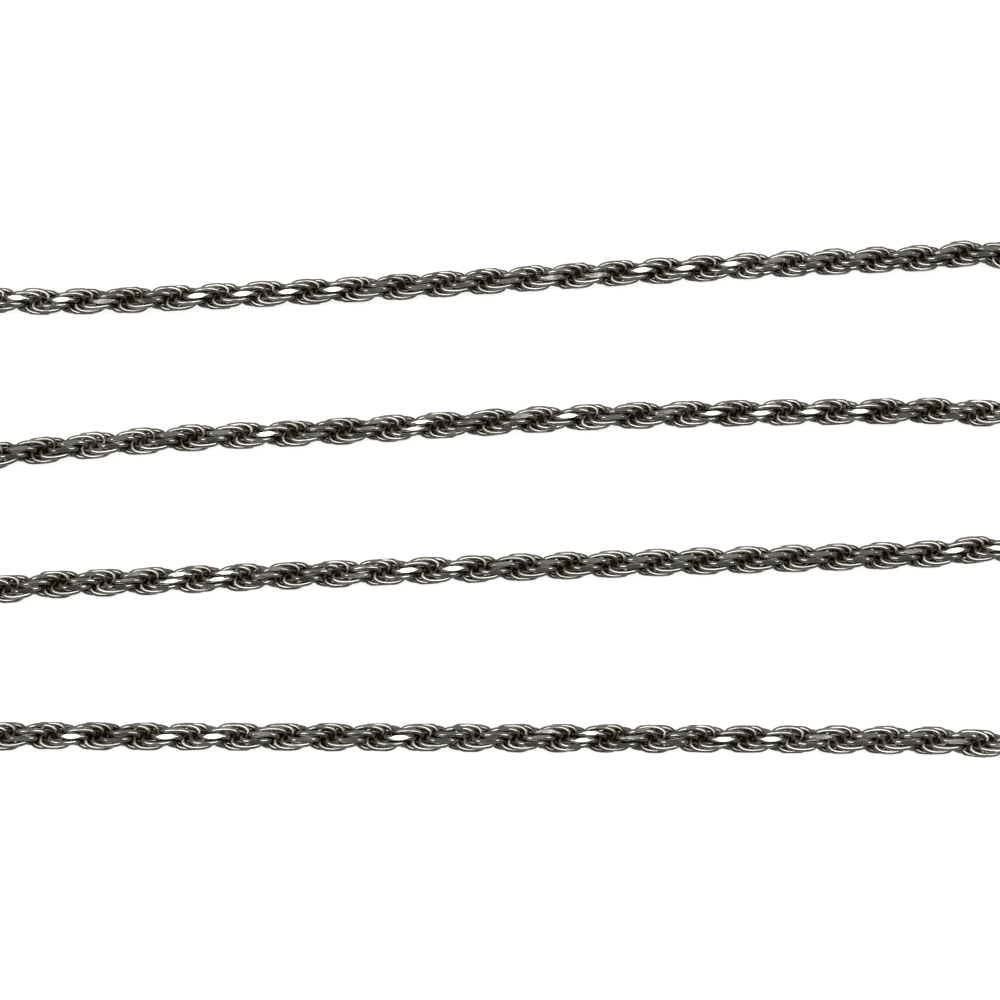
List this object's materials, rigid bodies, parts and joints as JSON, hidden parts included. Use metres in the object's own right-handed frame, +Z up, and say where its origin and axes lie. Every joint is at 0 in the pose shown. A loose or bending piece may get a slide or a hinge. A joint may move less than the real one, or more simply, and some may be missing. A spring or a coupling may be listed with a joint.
{
  "type": "rope chain necklace",
  "caption": "Twisted rope chain in polished silver with diamond-cut facets, a closed loop laid flat in parallel passes, its ends joined by a plain barrel clasp.",
  "frame": {"origin": "middle of the laid loop's box, on the surface that the chain lies on", "axes": "+X along the parallel passes towards the right-hand turns, +Y across the passes, +Z up out of the surface"},
  "size_m": [0.1193, 0.0506, 0.004],
  "materials": {
    "chain_silver": "polished sterling silver wire with bright diamond-cut facets, tarnished brown in the crevices",
    "clasp_silver": "polished sterling silver"
  },
  "bodies": {
    "root": {"chain": "chain_silver", "clasp": "clasp_silver"}
  },
  "joints": []
}
